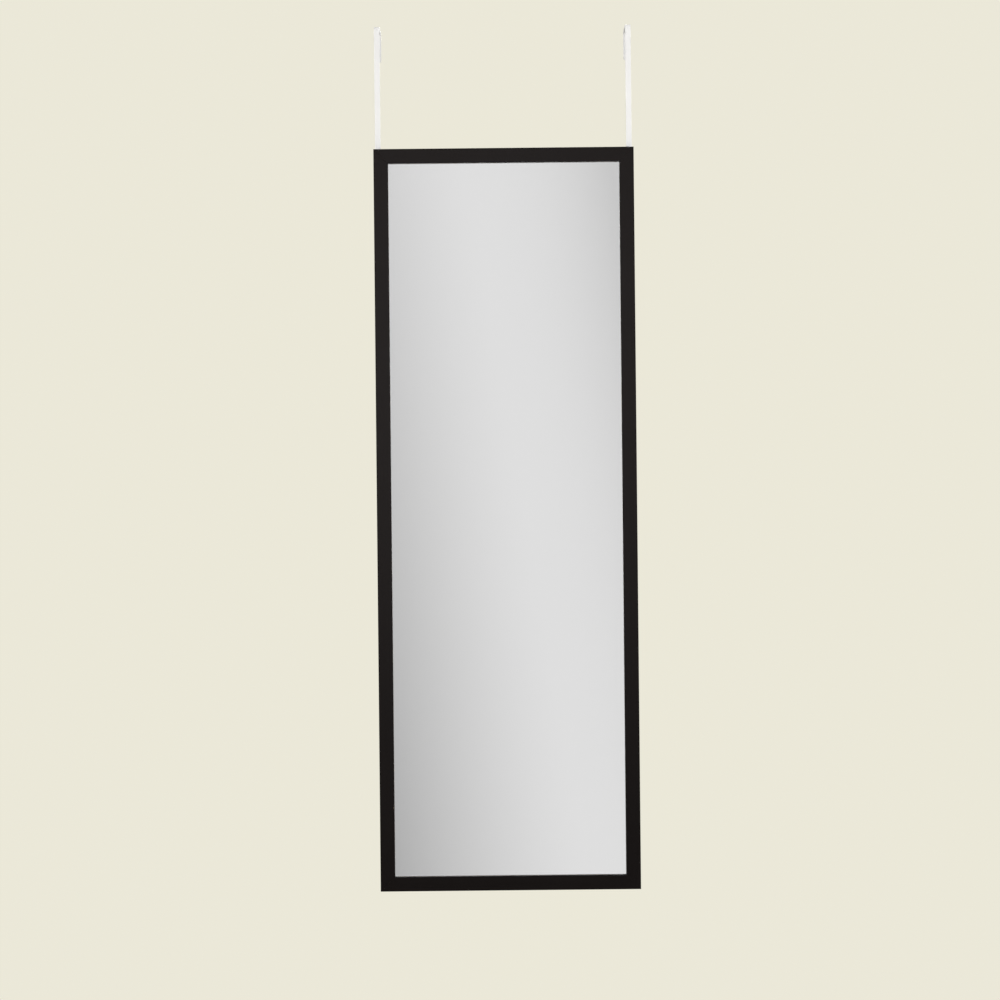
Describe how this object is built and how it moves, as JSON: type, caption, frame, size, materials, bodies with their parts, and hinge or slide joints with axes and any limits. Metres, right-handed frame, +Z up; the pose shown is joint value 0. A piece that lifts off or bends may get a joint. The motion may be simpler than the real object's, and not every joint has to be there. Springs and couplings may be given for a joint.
{
  "type": "over the door mirror",
  "caption": "Tall narrow wall mirror in a mitred black moulding that hangs from slotted strip hooks passing over the top edge of a door.",
  "frame": {"origin": "on the door's top front edge, midway between the hooks, as the mirror hangs on a door", "axes": "+X to the right as one faces the mirror, +Y through the door (the mirror faces -Y), +Z up"},
  "size_m": [0.324, 0.0657, 1.079],
  "materials": {
    "black_moulding": "satin",
    "silvered_glass": "polished",
    "white_foam": "matte",
    "hardboard": "matte",
    "white_coated_steel": "satin",
    "fixing_steel": "satin",
    "black_rubber": "matte"
  },
  "bodies": {
    "mirror": {"frame_top_rail": "black_moulding", "frame_bottom_rail": "black_moulding", "frame_left_stile": "black_moulding", "frame_right_stile": "black_moulding", "corner_v_nails": "fixing_steel", "mirror_pane": "silvered_glass", "foam_sheet": "white_foam", "back_board": "hardboard", "glazing_points": "fixing_steel", "left_hook_screws": "fixing_steel", "right_hook_screws": "fixing_steel", "left_hook_washers": "fixing_steel", "right_hook_washers": "fixing_steel", "lower_left_bumper": "black_rubber", "lower_right_bumper": "black_rubber"},
    "left_hook_body": {"left_hook": "white_coated_steel", "left_saddle_pad": "white_foam", "left_leg_pad": "white_foam"},
    "right_hook_body": {"right_hook": "white_coated_steel", "right_saddle_pad": "white_foam", "right_leg_pad": "white_foam"}
  },
  "joints": [
    {"name": "left_hook_slide", "type": "slide", "parent": "mirror", "child": "left_hook_body", "axis": [0, 0, 1], "range_m": [-0.04, 0.04]},
    {"name": "right_hook_slide", "type": "slide", "parent": "mirror", "child": "right_hook_body", "axis": [0, 0, 1], "range_m": [-0.04, 0.04]}
  ]
}
